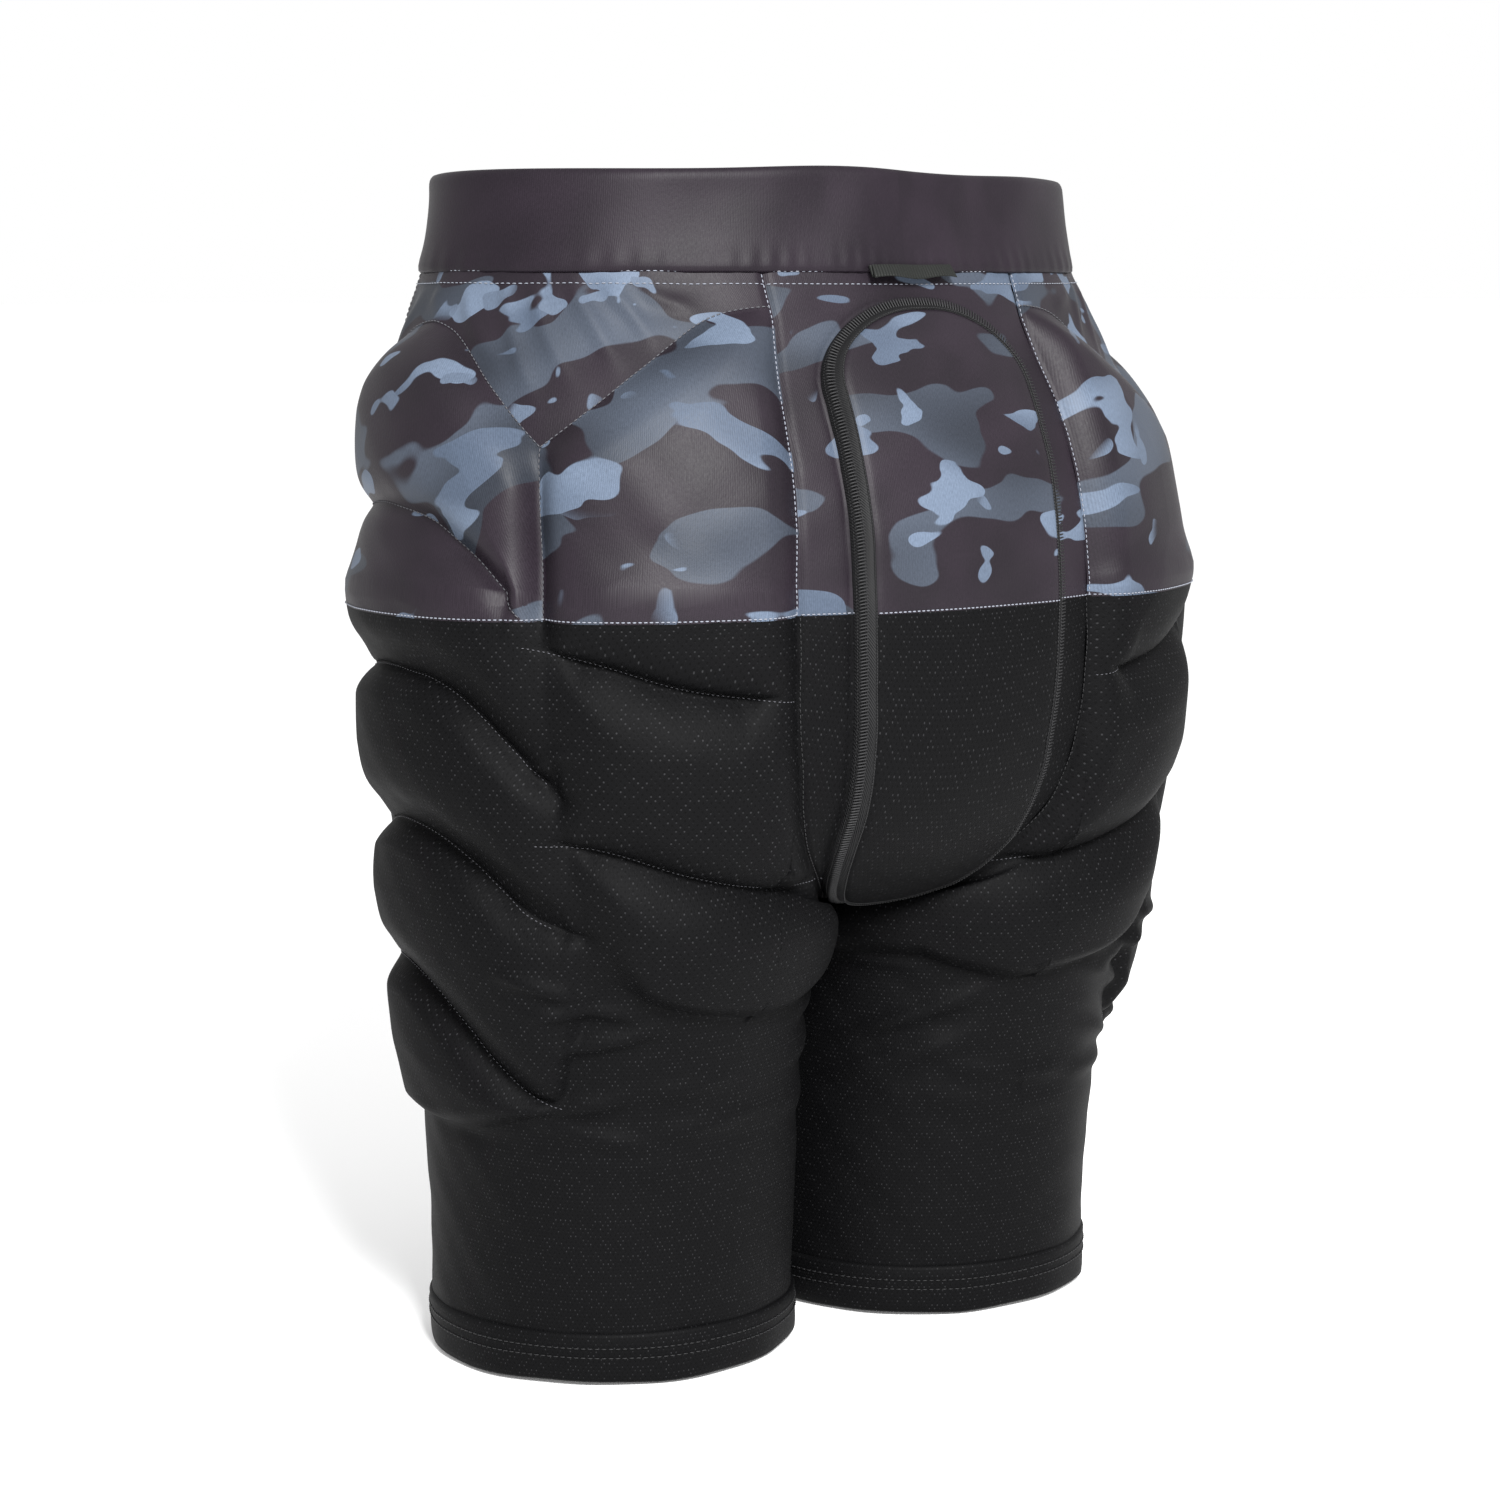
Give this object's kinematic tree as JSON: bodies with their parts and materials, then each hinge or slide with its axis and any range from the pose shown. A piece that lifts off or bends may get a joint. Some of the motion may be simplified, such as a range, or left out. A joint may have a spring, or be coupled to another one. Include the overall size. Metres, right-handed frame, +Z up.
{
  "type": "padded impact shorts",
  "caption": "Close-fitting padded shorts worn under ski or snowboard trousers, with foam pads over the tailbone, seat, hips and thighs.",
  "frame": {"origin": "centre of the waist opening, level with the waistband's top edge", "axes": "+Z up, -Y the way the wearer faces, +X the wearer's left"},
  "size_m": [0.4026, 0.2649, 0.4993],
  "materials": {
    "printed_fabric": "stretch knit printed with dark camouflage in plum black, slate and grey blue",
    "black_fabric": "black perforated stretch knit, slightly glossy",
    "lining_mesh": "thin black mesh",
    "foam": "soft closed-cell foam, out of sight",
    "elastic": "knitted elastic, out of sight",
    "seam_tape": "black woven tape"
  },
  "bodies": {
    "hips": {"waistband": "printed_fabric", "waist_elastic": "elastic", "back_middle_panel": "printed_fabric", "front_middle_panel": "printed_fabric", "crotch_gusset": "black_fabric", "tailbone_pad": "foam", "tailbone_tape": "seam_tape", "woven_label": "seam_tape", "yoke_panel_left": "printed_fabric", "yoke_panel_right": "printed_fabric", "seat_panel_left": "printed_fabric", "seat_panel_right": "printed_fabric", "hip_panel_upper_left": "printed_fabric", "hip_panel_upper_right": "printed_fabric", "hip_panel_lower_left": "printed_fabric", "hip_panel_lower_right": "printed_fabric", "front_panel_left": "printed_fabric", "front_panel_right": "printed_fabric", "pocket_lining_left": "lining_mesh", "pocket_lining_right": "lining_mesh", "seat_pad_upper_left": "foam", "seat_pad_upper_right": "foam", "seat_pad_middle_left": "foam", "seat_pad_middle_right": "foam", "hip_pad_1_left": "foam", "hip_pad_1_right": "foam", "hip_pad_2_left": "foam", "hip_pad_2_right": "foam"},
    "leg_left": {"leg_panel_left": "black_fabric", "leg_lining_left": "lining_mesh", "leg_hem_left": "black_fabric", "seat_pad_lower_left": "foam", "thigh_pad_1_left": "foam", "thigh_pad_2_left": "foam", "thigh_pad_3_left": "foam"},
    "leg_right": {"leg_panel_right": "black_fabric", "leg_lining_right": "lining_mesh", "leg_hem_right": "black_fabric", "seat_pad_lower_right": "foam", "thigh_pad_1_right": "foam", "thigh_pad_2_right": "foam", "thigh_pad_3_right": "foam"}
  },
  "joints": [
    {"name": "left_hip_flex", "type": "hinge", "parent": "hips", "child": "leg_left", "pos_m": [0.09, 0.021, -0.245], "axis": [-1, 0, 0], "range_deg": [0, 45], "deforming": ["leg_panel_left", "leg_lining_left", "seat_pad_lower_left", "thigh_pad_1_left", "thigh_pad_2_left", "thigh_pad_3_left"]},
    {"name": "right_hip_flex", "type": "hinge", "parent": "hips", "child": "leg_right", "pos_m": [-0.09, 0.021, -0.245], "axis": [-1, 0, 0], "range_deg": [0, 45], "deforming": ["leg_panel_right", "leg_lining_right", "seat_pad_lower_right", "thigh_pad_1_right", "thigh_pad_2_right", "thigh_pad_3_right"]}
  ]
}
